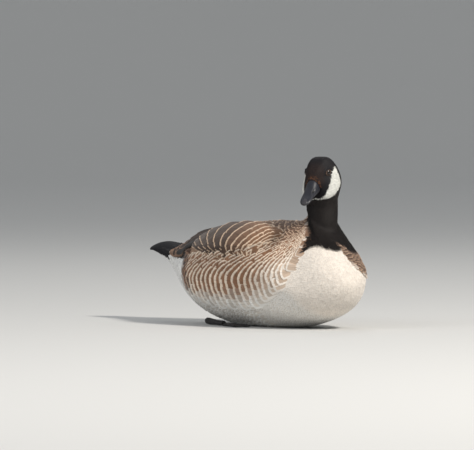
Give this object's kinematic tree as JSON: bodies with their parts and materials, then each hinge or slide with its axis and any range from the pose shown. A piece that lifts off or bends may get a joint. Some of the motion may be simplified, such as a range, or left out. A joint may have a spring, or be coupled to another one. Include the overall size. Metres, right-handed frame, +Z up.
{
  "type": "canada goose, floating pose",
  "caption": "Life-size still goose floating with folded wings, neck upright and head turned to its right, feet tucked under a flat belly.",
  "frame": {"origin": "on the flat of the belly, level with the soles, below the middle of the trunk", "axes": "+X the way the body points, +Y the bird's left, +Z up"},
  "size_m": [0.6246, 0.2332, 0.3241],
  "materials": {
    "tail_plumage": "black tail feathers, faint gloss",
    "vent_plumage": "white body feathers, soft",
    "body_plumage": "brown flank and back feathers with pale tips",
    "breast_plumage": "cream breast feathers, soft",
    "black_plumage": "black neck and head feathers, soft with a brown sheen",
    "wing_plumage": "dark brown wing feathers with buff tips",
    "flight_plumage": "brown-black flight feathers, smooth",
    "bill_horn": "slate-black horn, satin",
    "foot_skin": "black scaly skin, satin",
    "eye_dark": "wet dark brown, glossy"
  },
  "bodies": {
    "root": {"tail": "tail_plumage", "rump": "vent_plumage", "trunk": "body_plumage", "breast": "breast_plumage", "neck_lower": "black_plumage", "neck_upper": "black_plumage", "head": "black_plumage", "wing_left": "wing_plumage", "wing_right": "wing_plumage", "primaries_left": "flight_plumage", "primaries_right": "flight_plumage", "bill_upper": "bill_horn", "bill_lower": "bill_horn", "eye_left": "eye_dark", "eye_right": "eye_dark", "leg_left": "foot_skin", "leg_right": "foot_skin", "foot_left": "foot_skin", "foot_right": "foot_skin"}
  },
  "joints": []
}
